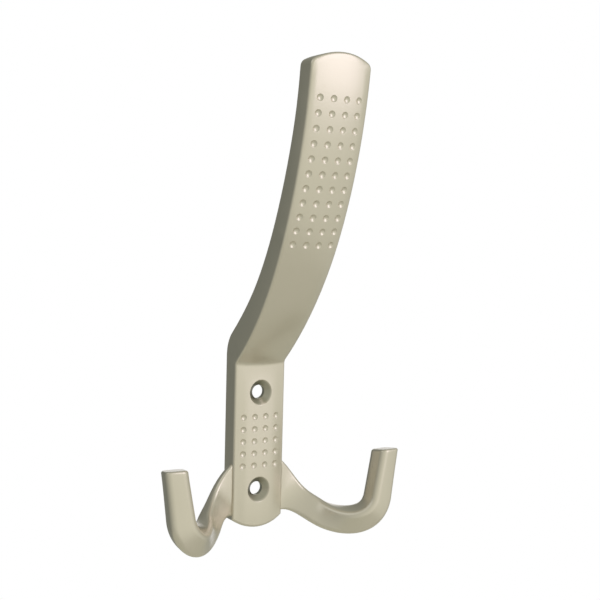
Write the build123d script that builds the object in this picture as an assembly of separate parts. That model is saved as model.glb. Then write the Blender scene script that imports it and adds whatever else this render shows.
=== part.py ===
from build123d import *
import math
import os

# One-piece die-cast wall hook, in millimetres.
# The wall is the plane y = 0 and the hook stands out towards -y.
# The origin is on the wall, midway between the two screw holes, and +z is up.

# Screw holes
hole_spacing = 32.0
bore_diameter = 4.5
countersink_diameter = 8.4
countersink_angle = 90.0

# Plate
plate_width = 18.4
plate_depth = 7.0
plate_crown_radius = 60.0
foot_below_hole = 12.6
foot_arc_radius = 15.0
crease_above_hole = 9.4
back_above_crease = 2.5

# Recess in the back of the plate
recess_rim = 2.5
recess_depth = 3.6
recess_corner = 2.0

# Upper arm: lean is measured from the vertical, depth at the crown line
arm_height = 94.6
arm_root_lean = 48.6
arm_middle_lean = 25.0
arm_lower_radius = 120.0
arm_upper_radius = 165.0
arm_crown_radius = 52.0
arm_root_depth = 9.9
arm_middle_depth = 7.9
arm_top_depth = 6.9
arm_middle_width = 19.7
arm_top_width = 20.5
arm_top_arc_radius = 20.0
arm_top_corner = 2.2
side_straight_above_crease = 3.0
back_bend_radius = 10.0

# Lower prongs: the centre line in the front view is a straight leg, a round trough and a rising tip
prong_root_drop = 0.1
prong_corner_out = 24.4
prong_corner_drop = 18.9
prong_tip_out = 28.95
prong_tip_rise = 13.5
prong_trough_radius = 10.0
prong_bar_width = 8.0
prong_bar_depth = 7.3
prong_bar_round = 2.1
prong_thicken_length = 26.0
prong_tip_width = 7.3
prong_tip_turn = 8.0
prong_tip_tilt = 3.0
prong_web_height = 19.0
prong_web_depth = 2.8
prong_web_round = 1.1
prong_web_length = 13.0
prong_web_setback = 1.2
prong_web_seat = 0.7
prong_forward = 19.4
prong_turn_start = 2.0
prong_turn_end = 27.9

# Edges
front_edge_round = 0.9
crease_round = 2.0
tip_edge_round = 0.8

# Sections of the prong, set closer together near its root
sections_along_prong = 21
root_crowding = 1.15

# Cuts reach this far past the body, and edges are told apart by these limits
clear = 4.0
tolerance = 0.01
front_facing = 0.5

lower_hole_z = -hole_spacing / 2
upper_hole_z = hole_spacing / 2
foot_z = lower_hole_z - foot_below_hole
crease_z = upper_hole_z + crease_above_hole
top_z = crease_z + arm_height
half_width = plate_width / 2
root_lean = math.radians(arm_root_lean)
middle_lean = math.radians(arm_middle_lean)
lower_length = arm_lower_radius * (root_lean - middle_lean)


def sag(radius, half_chord):
    """Height of a circular arc over half of its chord."""
    return radius - math.sqrt(radius**2 - half_chord**2)


def smooth_step(t):
    """Rises from 0 to 1 with level ends."""
    t = min(max(t, 0.0), 1.0)
    return t * t * (3 - 2 * t)


def arm_lean(s):
    """Lean of the arm's front, in radians, at the distance s up from the crease."""
    if s < lower_length:
        return root_lean - s / arm_lower_radius
    return middle_lean - (s - lower_length) / arm_upper_radius


def arm_front(s):
    """Point (y, z) of the arm's front crown line at the distance s up from the crease."""
    low = arm_lean(min(s, lower_length))
    y, z = -plate_depth, crease_z
    y -= arm_lower_radius * (math.cos(low) - math.cos(root_lean))
    z += arm_lower_radius * (math.sin(root_lean) - math.sin(low))
    if s > lower_length:
        high = arm_lean(s)
        y -= arm_upper_radius * (math.cos(high) - math.cos(middle_lean))
        z += arm_upper_radius * (math.sin(middle_lean) - math.sin(high))
    return y, z


def arm_depth(s):
    """Depth of the arm at the crown line: a smooth curve through the root, middle and top depths."""
    a, b, c = 0.0, lower_length, arm_length
    at_root = arm_root_depth * (s - b) * (s - c) / ((a - b) * (a - c))
    at_middle = arm_middle_depth * (s - a) * (s - c) / ((b - a) * (b - c))
    at_top = arm_top_depth * (s - a) * (s - b) / ((c - a) * (c - b))
    return at_root + at_middle + at_top


def arm_point(s, inward):
    """Point (y, z) the given depth behind the arm's front crown line."""
    y, z = arm_front(s)
    lean = arm_lean(s)
    return y + inward * math.cos(lean), z + inward * math.sin(lean)


middle_z = arm_front(lower_length)[1]
top_lean = math.asin(math.sin(middle_lean) - (top_z - middle_z) / arm_upper_radius)
arm_length = lower_length + arm_upper_radius * (middle_lean - top_lean)


def outline_side(sign):
    """One side of the front view: straight along the plate, then widening smoothly up the arm."""
    foot_corner_z = foot_z + sag(foot_arc_radius, half_width)
    top_corner_z = top_z - sag(arm_top_arc_radius, arm_top_width / 2)
    straight_end = (sign * half_width, crease_z + side_straight_above_crease)
    middle = (sign * arm_middle_width / 2, middle_z)
    top = (sign * arm_top_width / 2, top_corner_z)
    slope = (top[0] - middle[0], top[1] - middle[1])
    return [
        Line((sign * half_width, foot_corner_z), straight_end),
        Spline(straight_end, middle, top, tangents=[(0, 1), slope]),
    ]


def front_outline():
    """Front view of plate and arm: foot arc, widening sides and the arched top."""
    left, right = outline_side(-1), outline_side(1)
    foot = ThreePointArc(left[0] @ 0, (0, foot_z), right[0] @ 0)
    top = ThreePointArc(left[1] @ 1, (0, top_z), right[1] @ 1)
    face = make_face([foot, *right, top, *left])
    corners = face.vertices().sort_by(Axis.Y)[-2:]
    return fillet(corners, arm_top_corner)


def crowned_section(half, depth, crown_radius):
    """Section with a crowned front at y = 0 and a flat back at the given depth."""
    edge = sag(crown_radius, half)
    front = ThreePointArc((-half, edge), (0, 0), (half, edge))
    rest = Polyline((half, edge), (half, depth), (-half, depth), (-half, edge))
    return make_face([front, rest])


def plate_block():
    """Plate with its crowned front, running up behind the foot of the arm."""
    reach = crease_z + back_above_crease - foot_z
    section = crowned_section(half_width + clear / 2, plate_depth, plate_crown_radius)
    plane = Plane(origin=(0, -plate_depth, foot_z), x_dir=(1, 0, 0), z_dir=(0, 0, 1))
    return extrude(plane * section, amount=reach)


def arm_path(start, end):
    """Line of the arm's front crown, from below the crease to above the top."""
    def at(s):
        y, z = arm_front(s)
        return (0, y, z)
    return Wire([
        Edge.make_three_point_arc(at(start), at((start + lower_length) / 2), at(lower_length)),
        Edge.make_three_point_arc(at(lower_length), at((lower_length + end) / 2), at(end)),
    ])


def arm_solid():
    """Arm swept with its crowned front, then brought to its depth by the side view."""
    start = -arm_root_depth
    end = arm_length + clear
    y, z = arm_front(start)
    lean = arm_lean(start)
    normal = (0, -math.sin(lean), math.cos(lean))
    plane = Plane(origin=(0, y, z), x_dir=(1, 0, 0), z_dir=normal)
    half = arm_top_width / 2 + clear / 2
    section = crowned_section(half, arm_root_depth + clear, arm_crown_radius)
    swept = sweep(plane * section, path=arm_path(start, end))
    stations = [start, 0, lower_length / 2, lower_length, (lower_length + arm_length) / 2, end]
    back = [arm_point(s, arm_depth(max(s, 0.0))) for s in stations]
    front_y = arm_front(end)[0] - clear
    front_low = arm_point(start, -clear)
    profile = make_face([
        Spline(back, tangents=[
            (-math.sin(arm_lean(start)), math.cos(arm_lean(start))),
            (-math.sin(top_lean), math.cos(top_lean)),
        ]),
        Polyline(back[-1], (front_y, back[-1][1]), (front_y, front_low[1]), front_low, back[0]),
    ])
    side = extrude(Plane(origin=(-half, 0, 0), x_dir=(0, 1, 0), z_dir=(1, 0, 0)) * profile, amount=2 * half)
    return swept & side


def prong_section(path, length, distance):
    """Section of the right prong at a distance along its front-view centre line."""
    u = distance / length
    x, z = (path @ u).X, (path @ u).Y
    tangent = path % u
    web = max(1 - distance / prong_web_length, 0.0) ** 2
    tip_share = smooth_step(2 * u - 1)
    slope = math.atan2(tangent.Y, tangent.X) * (1 - web)
    turn = (x - half_width - prong_turn_start) / (prong_turn_end - prong_turn_start)
    rate = (smooth_step(turn + tolerance) - smooth_step(turn - tolerance)) / (2 * tolerance)
    rate *= prong_forward / (prong_turn_end - prong_turn_start)
    root_y = -plate_depth + prong_web_setback + prong_web_depth / 2
    y = root_y - prong_forward * smooth_step(turn)
    across = Vector(-math.sin(slope), 0, math.cos(slope)).rotate(Axis.Z, prong_tip_turn * tip_share)
    along = Vector(tangent.X, -rate * tangent.X, tangent.Y)
    along = (along - across * along.dot(across)).normalized()
    thicken = smooth_step(distance / prong_thicken_length)
    depth = prong_web_depth + (prong_bar_depth - prong_web_depth) * thicken
    rounding = prong_web_round + (prong_bar_round - prong_web_round) * thicken
    width = prong_bar_width + (prong_web_height - prong_bar_width) * web
    width -= (prong_bar_width - prong_tip_width) * tip_share
    plane = Plane(origin=(x, y, z), x_dir=across, z_dir=along)
    return plane * RectangleRounded(width, depth, rounding)


def right_prong():
    """Prong that leaves the plate's side as a tall web and turns forward and up into a square bar."""
    root = (half_width - prong_web_seat, lower_hole_z - prong_root_drop)
    corner = (half_width + prong_corner_out, lower_hole_z - prong_corner_drop)
    tip_z = lower_hole_z + prong_tip_rise
    beyond = (tip_z + clear - corner[1]) / (tip_z - corner[1])
    tip = (corner[0] + (half_width + prong_tip_out - corner[0]) * beyond, tip_z + clear)
    path = FilletPolyline(root, corner, tip, radius=prong_trough_radius)
    length = path.length
    shares = [i / (sections_along_prong - 1) for i in range(sections_along_prong)]
    stations = [length * share**root_crowding for share in shares]
    bar = loft([prong_section(path, length, distance) for distance in stations], ruled=True)
    end = Plane(origin=(half_width + prong_tip_out, -plate_depth - prong_forward, tip_z))
    end = end.rotated((prong_tip_tilt, 0, 0))
    bar = split(bar, bisect_by=end, keep=Keep.BOTTOM)
    rim = bar.faces().sort_by(Axis.Z)[-1].edges()
    return fillet(rim, tip_edge_round)


def screw_hole(z):
    """Bore with its countersink, cut from the front crown."""
    depth = (countersink_diameter - bore_diameter) / 2 / math.tan(math.radians(countersink_angle / 2))
    bore = Pos(0, -plate_depth / 2, z) * Rot(90, 0, 0) * Cylinder(bore_diameter / 2, plate_depth + clear)
    grow = clear / 2 * math.tan(math.radians(countersink_angle / 2))
    cone = Cone(bore_diameter / 2, countersink_diameter / 2 + grow, depth + clear / 2)
    cone = Pos(0, -plate_depth + depth / 2 - clear / 4, z) * Rot(90, 0, 0) * cone
    return bore + cone


def back_recess():
    """Recess that leaves a rim round the back of the plate."""
    half = half_width - recess_rim
    corner_z = foot_z + recess_rim + sag(foot_arc_radius - recess_rim, half)
    top = crease_z - recess_rim
    outline = make_face([
        ThreePointArc((-half, corner_z), (0, foot_z + recess_rim), (half, corner_z)),
        Polyline((half, corner_z), (half, top), (-half, top), (-half, corner_z)),
    ])
    outline = fillet(outline.vertices(), recess_corner)
    return extrude(Plane.XZ * outline, amount=recess_depth)


def edge_lies_on_crease(edge):
    """True for the edge where the front of the arm meets the front of the plate."""
    ends_level = abs((edge @ 0).Z - (edge @ 1).Z) < tolerance
    middle = edge @ 0.5
    return ends_level and abs(middle.Z - crease_z) < tolerance and abs(middle.Y + plate_depth) < tolerance


def plate_and_arm():
    """Plate and upper arm with their rounded edges."""
    outline = extrude(Plane.XZ * front_outline(), amount=arm_height)
    body = (plate_block() + arm_solid()) & outline
    back = body.faces().filter_by(Axis.Y).sort_by(Axis.Y)[-1]
    bend = back.edges().sort_by(Axis.Z)[-1]
    body = fillet(bend, back_bend_radius)
    crease = body.edges().filter_by(edge_lies_on_crease)
    body = fillet(crease, crease_round)
    fronts = [face for face in body.faces() if face.normal_at().Y < -front_facing]
    edges = [edge for face in fronts for edge in face.edges()]
    rims = [edge for edge in edges if sum(edge.is_same(other) for other in edges) == 1]
    body = fillet(rims, front_edge_round)
    return body


def hook():
    """The whole casting."""
    body = plate_and_arm()
    prong = right_prong()
    body += [prong, mirror(prong, about=Plane.YZ)]
    body -= back_recess()
    return body - [screw_hole(lower_hole_z), screw_hole(upper_hole_z)]


if __name__ == "__main__":
    os.makedirs("parts", exist_ok=True)
    body = hook()
    print(body.is_valid, body.volume, body.bounding_box())
    export_step(body, "parts/wall_hook.step")
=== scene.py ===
import bpy
import bmesh
import math
from mathutils import Matrix, Quaternion, Vector
from mathutils.bvhtree import BVHTree
from mathutils.interpolate import poly_3d_calc


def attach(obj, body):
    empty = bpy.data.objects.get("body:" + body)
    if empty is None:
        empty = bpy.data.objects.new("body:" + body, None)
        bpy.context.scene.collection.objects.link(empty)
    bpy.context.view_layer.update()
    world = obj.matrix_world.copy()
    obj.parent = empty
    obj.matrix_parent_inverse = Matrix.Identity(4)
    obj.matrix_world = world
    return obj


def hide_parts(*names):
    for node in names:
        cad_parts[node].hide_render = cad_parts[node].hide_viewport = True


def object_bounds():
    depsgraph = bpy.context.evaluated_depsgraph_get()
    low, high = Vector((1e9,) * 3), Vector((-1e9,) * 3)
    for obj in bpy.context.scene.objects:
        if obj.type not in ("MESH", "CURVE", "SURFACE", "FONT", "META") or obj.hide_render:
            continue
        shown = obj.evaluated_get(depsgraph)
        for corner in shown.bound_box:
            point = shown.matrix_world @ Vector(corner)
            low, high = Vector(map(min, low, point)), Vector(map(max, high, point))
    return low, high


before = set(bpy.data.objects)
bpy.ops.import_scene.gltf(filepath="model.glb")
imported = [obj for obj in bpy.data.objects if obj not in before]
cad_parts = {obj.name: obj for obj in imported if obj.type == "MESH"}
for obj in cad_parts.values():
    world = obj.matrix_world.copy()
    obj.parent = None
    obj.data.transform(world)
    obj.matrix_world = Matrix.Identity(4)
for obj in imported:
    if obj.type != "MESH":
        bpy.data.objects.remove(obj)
cad_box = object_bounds()

# Camera at the photograph's viewing angle, aimed at a point in front of the arm's foot.
# Azimuth and elevation are in degrees here and in every direction below.
camera_target = Vector((0.0048, -0.022, 0.0472))
camera_distance = 0.3357
camera_azimuth = -31.2
camera_elevation = 4.03
camera_roll = math.radians(1.48)
camera_clip_start = 0.01
focal_length_mm = 64.2
sensor_width_mm = 36.0

# Stage
floor_drop = 0.30
floor_radius = 0.45
floor_sides = 96
floor_colour = (0.92, 0.92, 0.84)
floor_roughness = 0.9
backdrop_distance = 1.50
backdrop_size = 1.12
paper_colour = (0.9, 0.9, 0.9)
white = (1.0, 1.0, 1.0)

# Room light, brightest from the front and slightly from the right
room_bright = (0.83, 0.82, 0.70)
room_dark = (0.20, 0.21, 0.185)
room_azimuth = 15.0

# Satin nickel
nickel_colour = (0.72, 0.68, 0.61)
nickel_shade = (0.67, 0.635, 0.555)
nickel_roughness = 0.30
nickel_roughness_spread = 0.03
cloud_scale = 45
cloud_detail = 3
grain_scale = 1800
grain_detail = 2
grain_strength = 0.06
grain_height = 0.0002

# Lower prongs: in the front view the centre line is a straight leg, a round trough and a rising tip
prong_root = Vector((0.0085, 0, -0.0161))
prong_corner = Vector((0.0331, 0, -0.0343))
prong_tip = Vector((0.03815, 0, -0.0019))
prong_trough_radius = 0.010

# Seen from above, they start in the plate and turn forward
prong_root_back = -0.0044
prong_forward = 0.0194
prong_turn_start = 0.0100
prong_turn_end = 0.0355

# The section is a tall thin web at the plate and a rounded bar further out
prong_web_height = 0.019
prong_web_depth = 0.0024
prong_web_round = 0.0010
prong_web_length = 0.011
prong_thicken_length = 0.026
prong_bar_width = 0.0084
prong_bar_depth = 0.0073
prong_bar_round = 0.0021
prong_trough_roll = math.radians(6)

# The tip is narrower, and its end slopes a little to the front and to the side
prong_tip_width = 0.0073
prong_tip_round = 0.0008
prong_tip_roll = math.radians(9)
prong_tip_tilt = math.radians(9)
prong_tip_lean = math.radians(8)
prong_tip_tilt_length = 0.008

# Fineness of the prongs
prong_sections = 72
prong_corner_steps = 8
prong_tip_steps = 8

# Part of the CAD mesh that the finer prongs replace: outside the plate's sides and below this height
plate_side = 0.0092
plate_top_height = 0.020

# Dimples pressed into the front, in rows across it
dimple_radius = 0.0011
dimple_wall_slope = math.radians(45)
dimple_rim_slope = math.radians(22)
dimple_rim_round = 0.0003
dimple_columns = 4
plate_dimple_rows = 5
plate_dimple_pitch = 0.0040
arm_dimple_rows = 11
arm_dimple_pitch = 0.00442
arm_first_row_height = 0.0647

# Fineness of the dimples, and how far their cutters reach over the surface
round_segments = 48
wall_steps = 8
rim_steps = 4
cutter_top = 0.001
search_reach = 0.004

# Screw holes: the rim of each countersink is rounded, and the holes are painted darker than the front
# as shade in the recess
plate_front = 0.007
hole_heights = (-0.016, 0.016)
countersink_radius = 0.0042
countersink_wall_slope = math.radians(45)
countersink_rim_slope = math.radians(14)
countersink_rim_round = 0.00035
# Darker colour painted into the countersinks as shade
painted_hole_shade = (0.43, 0.42, 0.36)

# Shading: points this close are one, and normals within these angles belong to one smooth surface
same_place = 2e-6
smooth_across = math.radians(25)
smooth_agrees = math.radians(40)


def direction(azimuth, elevation):
    """Unit vector from the object; azimuth 0 is the front, positive to the viewer's right."""
    turn, rise = math.radians(azimuth), math.radians(elevation)
    return Vector((math.sin(turn) * math.cos(rise), -math.cos(turn) * math.cos(rise), math.sin(rise)))


toward_camera = direction(camera_azimuth, camera_elevation)


def in_scene(name, data):
    """New object in the scene."""
    piece = bpy.data.objects.new(name, data)
    bpy.context.scene.collection.objects.link(piece)
    return piece


def add_camera():
    """Camera placed on its ray to the target, with the photograph's slight roll."""
    turn = math.radians(camera_azimuth)
    right = Vector((math.cos(turn), math.sin(turn), 0))
    up = toward_camera.cross(right)
    tilted_right = right * math.cos(camera_roll) + up * math.sin(camera_roll)
    tilted_up = up * math.cos(camera_roll) - right * math.sin(camera_roll)
    rotation = Matrix((tilted_right, tilted_up, toward_camera)).transposed().to_4x4()
    data = bpy.data.cameras.new("camera")
    data.sensor_width = sensor_width_mm
    data.lens = focal_length_mm
    data.clip_start = camera_clip_start
    camera = in_scene("camera", data)
    camera.matrix_world = Matrix.Translation(camera_target + toward_camera * camera_distance) @ rotation
    bpy.context.scene.camera = camera


def add_area_light(name, azimuth, elevation, distance, width, height, radiance, colour):
    """Soft rectangular lamp that faces the object, as bright as the radiance says."""
    data = bpy.data.lights.new(name, "AREA")
    data.shape = "RECTANGLE"
    data.size = width
    data.size_y = height
    data.energy = math.pi * radiance * width * height
    data.color = colour
    away = direction(azimuth, elevation)
    lamp = in_scene(name, data)
    lamp.rotation_euler = away.to_track_quat("Z", "Y").to_euler()
    lamp.location = camera_target + away * distance
    lamp.visible_camera = False


def colour_blend(nodes, links, share, first, second):
    """Colour socket that goes from the first colour, plain or a socket, to a plain second one."""
    blend = nodes.new("ShaderNodeMix")
    blend.data_type = "RGBA"
    if isinstance(first, tuple):
        blend.inputs["A"].default_value = (*first, 1)
    else:
        links.new(first, blend.inputs["A"])
    blend.inputs["B"].default_value = (*second, 1)
    links.new(share, blend.inputs["Factor"])
    return blend.outputs["Result"]


def set_world():
    """Room light that grows smoothly from the back to the front of the hook."""
    world = bpy.data.worlds.new("room")
    world.use_nodes = True
    nodes, links = world.node_tree.nodes, world.node_tree.links
    place = nodes.new("ShaderNodeTexCoord")
    toward = nodes.new("ShaderNodeVectorMath")
    toward.operation = "DOT_PRODUCT"
    toward.inputs[1].default_value = direction(room_azimuth, 0)
    links.new(place.outputs["Generated"], toward.inputs[0])
    share = nodes.new("ShaderNodeMapRange")
    share.inputs["From Min"].default_value = -1
    links.new(toward.outputs["Value"], share.inputs["Value"])
    colour = colour_blend(nodes, links, share.outputs["Result"], room_dark, room_bright)
    links.new(colour, nodes["Background"].inputs["Color"])
    bpy.context.scene.world = world


def larger(nodes, links, first, second):
    """Socket with the larger of two values."""
    node = nodes.new("ShaderNodeMath")
    node.operation = "MAXIMUM"
    links.new(first, node.inputs[0])
    links.new(second, node.inputs[1])
    return node.outputs[0]


def white_stage_material():
    """White paper that shows as plain white directly and in reflections, and still takes shadows."""
    material = bpy.data.materials.new("white_paper")
    material.use_nodes = True
    nodes, links = material.node_tree.nodes, material.node_tree.links
    nodes.clear()
    path = nodes.new("ShaderNodeLightPath")
    seen = larger(nodes, links, path.outputs["Is Camera Ray"], path.outputs["Is Glossy Ray"])
    plain = larger(nodes, links, seen, path.outputs["Is Transmission Ray"])
    paper = nodes.new("ShaderNodeBsdfDiffuse")
    paper.inputs["Color"].default_value = (*paper_colour, 1)
    glow = nodes.new("ShaderNodeEmission")
    glow.inputs["Color"].default_value = (*white, 1)
    glow.inputs["Strength"].default_value = 1
    mix = nodes.new("ShaderNodeMixShader")
    links.new(plain, mix.inputs["Fac"])
    links.new(paper.outputs[0], mix.inputs[1])
    links.new(glow.outputs[0], mix.inputs[2])
    output = nodes.new("ShaderNodeOutputMaterial")
    links.new(mix.outputs[0], output.inputs["Surface"])
    return material


def add_floor():
    """Round pale floor below the hook."""
    low = cad_box[0]
    bpy.ops.mesh.primitive_circle_add(vertices=floor_sides, radius=floor_radius, fill_type="NGON",
                                      location=(0, low[1], low[2] - floor_drop))
    floor = bpy.context.object
    floor.name = "floor"
    pale = bpy.data.materials.new("pale_floor")
    pale.use_nodes = True
    shader = pale.node_tree.nodes["Principled BSDF"]
    shader.inputs["Base Color"].default_value = (*floor_colour, 1)
    shader.inputs["Roughness"].default_value = floor_roughness
    floor.data.materials.append(pale)


def add_backdrop():
    """White backdrop behind the hook, square to the camera."""
    bpy.ops.mesh.primitive_plane_add(size=1, location=camera_target - toward_camera * backdrop_distance)
    backdrop = bpy.context.object
    backdrop.name = "backdrop"
    backdrop.scale = (backdrop_size, backdrop_size, 1)
    backdrop.rotation_euler = toward_camera.to_track_quat("Z", "Y").to_euler()
    backdrop.data.materials.append(white_stage_material())


def painted_hole_shade_mask(nodes, links, place):
    """Socket that is 1 inside the screw holes, where shade is painted, and 0 on the rest of the hook.
    """
    flat = nodes.new("ShaderNodeVectorMath")
    flat.operation = "MULTIPLY"
    flat.inputs[1].default_value = (1, 0, 1)
    links.new(place.outputs["Object"], flat.inputs[0])
    masks = []
    for height in hole_heights:
        away = nodes.new("ShaderNodeVectorMath")
        away.operation = "DISTANCE"
        away.inputs[1].default_value = (0, 0, height)
        links.new(flat.outputs["Vector"], away.inputs[0])
        fade = nodes.new("ShaderNodeMapRange")
        fade.interpolation_type = "SMOOTHSTEP"
        fade.inputs["From Min"].default_value = countersink_radius
        fade.inputs["From Max"].default_value = countersink_radius - countersink_rim_round * 2
        links.new(away.outputs["Value"], fade.inputs["Value"])
        masks.append(fade.outputs["Result"])
    return larger(nodes, links, *masks)


def add_noise(nodes, links, place, scale, detail):
    """Noise on the hook's own coordinates."""
    noise = nodes.new("ShaderNodeTexNoise")
    noise.inputs["Scale"].default_value = scale
    noise.inputs["Detail"].default_value = detail
    links.new(place.outputs["Object"], noise.inputs["Vector"])
    return noise.outputs["Fac"]


def satin_nickel():
    """Satin nickel plating: soft gloss, faint clouding, painted shade in the holes and a very fine
    blasted grain.
    """
    material = bpy.data.materials.new("satin_nickel")
    material.use_nodes = True
    nodes, links = material.node_tree.nodes, material.node_tree.links
    shader = nodes["Principled BSDF"]
    shader.inputs["Metallic"].default_value = 1
    place = nodes.new("ShaderNodeTexCoord")
    cloud = add_noise(nodes, links, place, cloud_scale, cloud_detail)
    tint = colour_blend(nodes, links, cloud, nickel_shade, nickel_colour)
    # The countersinks get the darker colour as painted shade
    shaded_in_holes = colour_blend(nodes, links, painted_hole_shade_mask(nodes, links, place), tint, painted_hole_shade)
    links.new(shaded_in_holes, shader.inputs["Base Color"])
    rough = nodes.new("ShaderNodeMapRange")
    rough.inputs["To Min"].default_value = nickel_roughness - nickel_roughness_spread
    rough.inputs["To Max"].default_value = nickel_roughness + nickel_roughness_spread
    links.new(cloud, rough.inputs["Value"])
    links.new(rough.outputs["Result"], shader.inputs["Roughness"])
    bump = nodes.new("ShaderNodeBump")
    bump.inputs["Strength"].default_value = grain_strength
    bump.inputs["Distance"].default_value = grain_height
    links.new(add_noise(nodes, links, place, grain_scale, grain_detail), bump.inputs["Height"])
    links.new(bump.outputs["Normal"], shader.inputs["Normal"])
    return material


def rim_profile(radius, rounding, wall_slope, rim_slope):
    """Radius and height along a rounded rim, which meets the front at the given radius, and beyond."""
    profile = []
    for step in range(rim_steps + 1):
        slope = wall_slope + (rim_slope - wall_slope) * step / rim_steps
        aside = rounding * (math.sin(slope) - math.sin(rim_slope))
        below = rounding * (math.cos(rim_slope) - math.cos(slope))
        profile.append((radius - aside, -below))
    return [*profile, (radius + rounding, rounding * math.tan(rim_slope))]


def rim_size(rounding, wall_slope, rim_slope):
    """Width and height that a rounded rim takes up."""
    width = rounding * (math.sin(wall_slope) - math.sin(rim_slope))
    height = rounding * (math.cos(rim_slope) - math.cos(wall_slope))
    return width, height


def dimple_profile():
    """Depth of a dimple, and radius and height along its round wall and soft rim."""
    rim = dimple_rim_round, dimple_wall_slope, dimple_rim_slope
    rim_width, rim_height = rim_size(*rim)
    wall_radius = (dimple_radius - rim_width) / math.sin(dimple_wall_slope)
    depth = rim_height + wall_radius * (1 - math.cos(dimple_wall_slope))
    slopes = [dimple_wall_slope * step / wall_steps for step in range(1, wall_steps)]
    wall = [(wall_radius * math.sin(a), wall_radius * (1 - math.cos(a)) - depth) for a in slopes]
    return depth, wall + rim_profile(dimple_radius, *rim)


def countersink_profile():
    """Depth and profile of the cut that rounds a countersink's rim and touches nothing else."""
    rim = countersink_rim_round, countersink_wall_slope, countersink_rim_slope
    aside, below = rim_size(*rim)
    radius = countersink_radius + aside - below / math.tan(countersink_wall_slope)
    return countersink_rim_round * rim_steps, rim_profile(radius, *rim)


def add_round_form(cutter, centre, outward, depth, profile):
    """Adds a closed turned form to the cutter, with its axis along the outward direction."""
    turn = outward.to_track_quat("Z", "Y").to_matrix().to_4x4()
    place = Matrix.Translation(centre) @ turn
    angles = [2 * math.pi * i / round_segments for i in range(round_segments)]
    bottom = cutter.verts.new(place @ Vector((0, 0, -depth)))
    rings = []
    for radius, height in [*profile, (profile[-1][0], cutter_top)]:
        ring = [Vector((radius * math.cos(a), radius * math.sin(a), height)) for a in angles]
        rings.append([cutter.verts.new(place @ point) for point in ring])
    for i in range(round_segments):
        k = (i + 1) % round_segments
        cutter.faces.new((bottom, rings[0][k], rings[0][i]))
        for low, high in zip(rings, rings[1:]):
            cutter.faces.new((low[i], low[k], high[k], high[i]))
    cutter.faces.new(rings[-1])


def landing(tree, point, outward):
    """Place on the surface below a point, against the outward direction, and the normal there."""
    place, normal, _, _ = tree.ray_cast(point + outward * search_reach, -outward)
    return place, normal


def row_starts(tree):
    """Middle, outward direction and pitch of each row of dimples, on the plate and then the arm."""
    front = Vector((0, -1, 0))
    middle = (plate_dimple_rows - 1) / 2
    rows = []
    for row in range(plate_dimple_rows):
        point = Vector((0, -plate_front, (row - middle) * plate_dimple_pitch))
        rows.append((point, front, plate_dimple_pitch))
    place, normal, _, _ = tree.ray_cast(Vector((0, -1, arm_first_row_height)), -front)
    for _ in range(arm_dimple_rows):
        normal.x = 0
        normal.normalize()
        rows.append((place, normal.copy(), arm_dimple_pitch))
        downward = normal.cross(Vector((1, 0, 0)))
        place, normal = landing(tree, place + downward * arm_dimple_pitch, normal)
    return rows


def as_mesh(form, name):
    """Mesh data made from an edited form."""
    mesh = bpy.data.meshes.new(name)
    form.to_mesh(mesh)
    form.free()
    return mesh


def front_cutter(tree):
    """All dimples and countersink rims as one mesh, the dimples square to the crowned front."""
    cutter = bmesh.new()
    depth, profile = dimple_profile()
    middle = (dimple_columns - 1) / 2
    for start, outward, pitch in row_starts(tree):
        for column in range(dimple_columns):
            aside = Vector(((column - middle) * pitch, 0, 0))
            place, normal = landing(tree, start + aside, outward)
            add_round_form(cutter, place, normal, depth, profile)
    depth, profile = countersink_profile()
    for height in hole_heights:
        add_round_form(cutter, Vector((0, -plate_front, height)), Vector((0, -1, 0)), depth, profile)
    bmesh.ops.triangulate(cutter, faces=cutter.faces)
    mesh = as_mesh(cutter, "front_cutter")
    mesh.shade_smooth()
    return mesh


def smooth_step(t):
    """Rises from 0 to 1 with level ends."""
    t = min(max(t, 0.0), 1.0)
    return t * t * (3 - 2 * t)


def prong_line():
    """Heading of the leg, turn of the trough, and the lengths of leg, trough and tip."""
    leg = prong_corner - prong_root
    rise = prong_tip - prong_corner
    turn = leg.angle(rise)
    cut_off = prong_trough_radius * math.tan(turn / 2)
    heading = math.atan2(leg.z, leg.x)
    return heading, turn, leg.length - cut_off, prong_trough_radius * turn, rise.length - cut_off


def on_prong_line(distance):
    """Point and heading of the centre line in the front view, at a distance from its root."""
    heading, _, leg, trough, _ = prong_line()
    bend = min(max(distance - leg, 0), trough) / prong_trough_radius
    start = Vector((math.cos(heading), 0, math.sin(heading)))
    centre = prong_root + start * leg + Vector((-start.z, 0, start.x)) * prong_trough_radius
    now = heading + bend
    along = Vector((math.cos(now), 0, math.sin(now)))
    point = centre - Vector((-along.z, 0, along.x)) * prong_trough_radius
    straight = min(distance - leg, 0) + max(distance - leg - trough, 0)
    return point + along * straight, now


def web_share(distance):
    """How much the section is still a web, from 1 at the plate to 0."""
    return max(1 - distance / prong_web_length, 0) ** 2


def tip_share(share):
    """How much the section is the tip's already, at a share of the prong's length."""
    return smooth_step(2 * share - 1)


def prong_axes(distance, share):
    """Middle of the prong's section, and the directions along, across and outward there."""
    place, slope = on_prong_line(distance)
    turn_length = prong_turn_end - prong_turn_start
    turn = (place.x - prong_turn_start) / turn_length
    inside = min(max(turn, 0), 1)
    # How fast the smooth turn below brings the line forward
    rate = 6 * inside * (1 - inside) * prong_forward / turn_length
    along = Vector((math.cos(slope), -rate * math.cos(slope), math.sin(slope)))
    lean = slope * (1 - web_share(distance))
    across = Vector((-math.sin(lean), 0, math.cos(lean)))
    along = (along - across * along.dot(across)).normalized()
    tip = tip_share(share)
    roll = prong_trough_roll * smooth_step(2 * share) * (1 - tip) + prong_tip_roll * tip
    across.rotate(Quaternion(along, roll))
    middle = Vector((place.x, prong_root_back - prong_forward * smooth_step(turn), place.z))
    return middle, along, across, along.cross(across)


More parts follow.
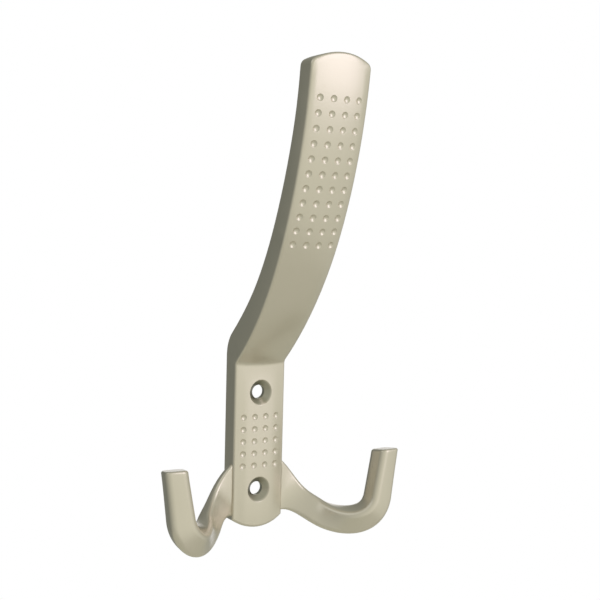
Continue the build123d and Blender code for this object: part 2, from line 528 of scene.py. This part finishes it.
def prong_section(distance, share):
    """Width, depth and corner rounding of the prong's section."""
    web, tip = web_share(distance), tip_share(share)
    thicken = smooth_step(distance / prong_thicken_length)
    width = prong_bar_width + (prong_web_height - prong_bar_width) * web
    width -= (prong_bar_width - prong_tip_width) * tip
    depth = prong_web_depth + (prong_bar_depth - prong_web_depth) * thicken
    rounding = prong_web_round + (prong_bar_round - prong_web_round) * thicken
    return width, depth, rounding


def rounded_rectangle(width, depth, rounding):
    """Points of a rectangle with rounded corners, in order round its middle."""
    points = []
    for quarter, (side_x, side_y) in enumerate(((1, 1), (-1, 1), (-1, -1), (1, -1))):
        x = side_x * (width / 2 - rounding)
        y = side_y * (depth / 2 - rounding)
        for step in range(prong_corner_steps + 1):
            angle = math.pi / 2 * (quarter + step / prong_corner_steps)
            points.append((x + rounding * math.cos(angle), y + rounding * math.sin(angle)))
    return points


def prong_ring(distance, length, inset):
    """Section of the right prong, drawn in by the inset all round."""
    share = distance / length
    middle, along, across, outward = prong_axes(distance, share)
    width, depth, rounding = prong_section(distance, share)
    near_tip = smooth_step(1 - (length - distance) / prong_tip_tilt_length)
    ring = []
    for x, y in rounded_rectangle(width - 2 * inset, depth - 2 * inset, rounding - inset):
        drop = (depth / 2 - y) * math.tan(prong_tip_tilt) + x * math.tan(prong_tip_lean)
        ring.append(middle + across * x + outward * y - along * near_tip * drop)
    return ring


def prong_rings():
    """All sections of the right prong, from its root to its rounded tip."""
    _, _, leg, trough, rise = prong_line()
    length = leg + trough + rise
    body = length - prong_tip_round
    rings = [prong_ring(body * i / prong_sections, length, 0) for i in range(prong_sections + 1)]
    for step in range(1, prong_tip_steps + 1):
        angle = math.pi / 2 * step / prong_tip_steps
        inset = prong_tip_round * (1 - math.cos(angle))
        rings.append(prong_ring(body + prong_tip_round * math.sin(angle), length, inset))
    return rings


def prong_mesh():
    """Both prongs as closed forms whose roots reach into the plate."""
    rings = prong_rings()
    prongs = bmesh.new()
    for side in (1, -1):
        places = [[(point.x * side, point.y, point.z) for point in ring] for ring in rings]
        loops = [[prongs.verts.new(place) for place in ring] for ring in places]
        count = len(loops[0])
        for low, high in zip(loops, loops[1:]):
            for i in range(count):
                k = (i + 1) % count
                prongs.faces.new((low[i], low[k], high[k], high[i]))
        prongs.faces.new(loops[0])
        prongs.faces.new(loops[-1])
    bmesh.ops.recalc_face_normals(prongs, faces=prongs.faces)
    bmesh.ops.triangulate(prongs, faces=prongs.faces)
    mesh = as_mesh(prongs, "prongs")
    mesh.shade_smooth()
    return mesh


def sewn(mesh):
    """Copy of a mesh with its faces joined into one closed skin."""
    skin = bmesh.new()
    skin.from_mesh(mesh)
    bmesh.ops.remove_doubles(skin, verts=skin.verts, dist=same_place)
    return as_mesh(skin, "closed_skin")


def without_prongs(mesh):
    """Plate and arm alone, closed where the prongs were."""
    body = bmesh.new()
    body.from_mesh(mesh)
    outside = []
    for face in body.faces:
        place = face.calc_center_median()
        if abs(place.x) > plate_side + same_place and place.z < plate_top_height:
            outside.append(face)
    bmesh.ops.delete(body, geom=outside, context="FACES")
    bmesh.ops.holes_fill(body, edges=[edge for edge in body.edges if edge.is_boundary])
    bmesh.ops.recalc_face_normals(body, faces=body.faces)
    return as_mesh(body, "plate_and_arm")


def combined(mesh, tool, operation):
    """Mesh with the tool's form added to it or taken out of it."""
    body = in_scene("body", mesh)
    cutter = in_scene("cutter", tool)
    change = body.modifiers.new("change", "BOOLEAN")
    change.operation = operation
    change.solver = "EXACT"
    change.object = cutter
    evaluated = body.evaluated_get(bpy.context.evaluated_depsgraph_get())
    result = bpy.data.meshes.new_from_object(evaluated)
    for piece in (body, cutter):
        bpy.data.objects.remove(piece)
    return result


def soft_normals(mesh):
    """Normal at each corner of a mesh, evened out with its neighbours' where they nearly agree."""
    places = []
    shared = {}
    for corner, loop in enumerate(mesh.loops):
        place = tuple(round(value / same_place) for value in mesh.vertices[loop.vertex_index].co)
        places.append(place)
        shared.setdefault(place, []).append(mesh.corner_normals[corner].vector.copy())
    soft = []
    for corner, place in enumerate(places):
        own = mesh.corner_normals[corner].vector
        near = [normal for normal in shared[place] if own.angle(normal) < smooth_across]
        soft.append(sum(near, Vector()).normalized())
    return soft


class Shading:
    """Smooth normals of a mesh, read at any place on its surface."""

    def __init__(self, mesh, sign=1):
        mesh.calc_loop_triangles()
        soft = soft_normals(mesh)
        self.sign = sign
        self.places = [[mesh.vertices[i].co.copy() for i in t.vertices] for t in mesh.loop_triangles]
        self.normals = [[soft[i] for i in t.loops] for t in mesh.loop_triangles]
        triangles = [tuple(t.vertices) for t in mesh.loop_triangles]
        self.tree = BVHTree.FromPolygons([v.co.copy() for v in mesh.vertices], triangles)

    def triangle_at(self, point):
        """Nearest triangle and its distance."""
        _, _, triangle, distance = self.tree.find_nearest(point)
        return triangle, distance

    def normal(self, triangle, point):
        """Normal at a point of a triangle, blended from its corners."""
        shares = poly_3d_calc(self.places[triangle], point)
        blended = sum((n * share for n, share in zip(self.normals[triangle], shares)), Vector())
        return blended.normalized() * self.sign


def shade_like(result, sources):
    """Gives the finished mesh the smooth normals of the surfaces that it was made from."""
    normals = []
    for polygon in result.polygons:
        polygon.use_smooth = True
        found = [source.triangle_at(polygon.center) for source in sources]
        nearest = min(range(len(sources)), key=lambda i: found[i][1])
        source, triangle = sources[nearest], found[nearest][0]
        for index in polygon.vertices:
            point = result.vertices[index].co
            if nearest > 0:
                # The prongs and the cutter have small facets, so each corner may lie on its own one
                triangle = source.triangle_at(point)[0]
            smooth = source.normal(triangle, point)
            agrees = smooth.dot(polygon.normal) > math.cos(smooth_agrees)
            normals.append(smooth if agrees else polygon.normal)
    result.normals_split_custom_set(normals)


def finish_hook():
    """Shows the hook with its prongs, dimples and plating."""
    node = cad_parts["wall_hook"]
    surface = Shading(node.data)
    prongs = prong_mesh()
    tool = front_cutter(surface.tree)
    casting = combined(without_prongs(sewn(node.data)), prongs, "UNION")
    casting = combined(casting, tool, "DIFFERENCE")
    shade_like(casting, [surface, Shading(prongs), Shading(tool, sign=-1)])
    casting.materials.clear()
    casting.materials.append(satin_nickel())
    hook = in_scene("dimpled_hook", casting)
    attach(hook, "root")
    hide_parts("wall_hook")


bpy.context.scene.view_settings.view_transform = "Standard"
add_camera()
set_world()
add_floor()
add_backdrop()
add_area_light("key", azimuth=27, elevation=19, distance=0.8, width=0.62, height=0.74,
               radiance=0.86, colour=(0.94, 0.84, 1.0))
add_area_light("left", azimuth=-85, elevation=35, distance=0.8, width=0.5, height=0.5,
               radiance=0.3, colour=white)
finish_hook()
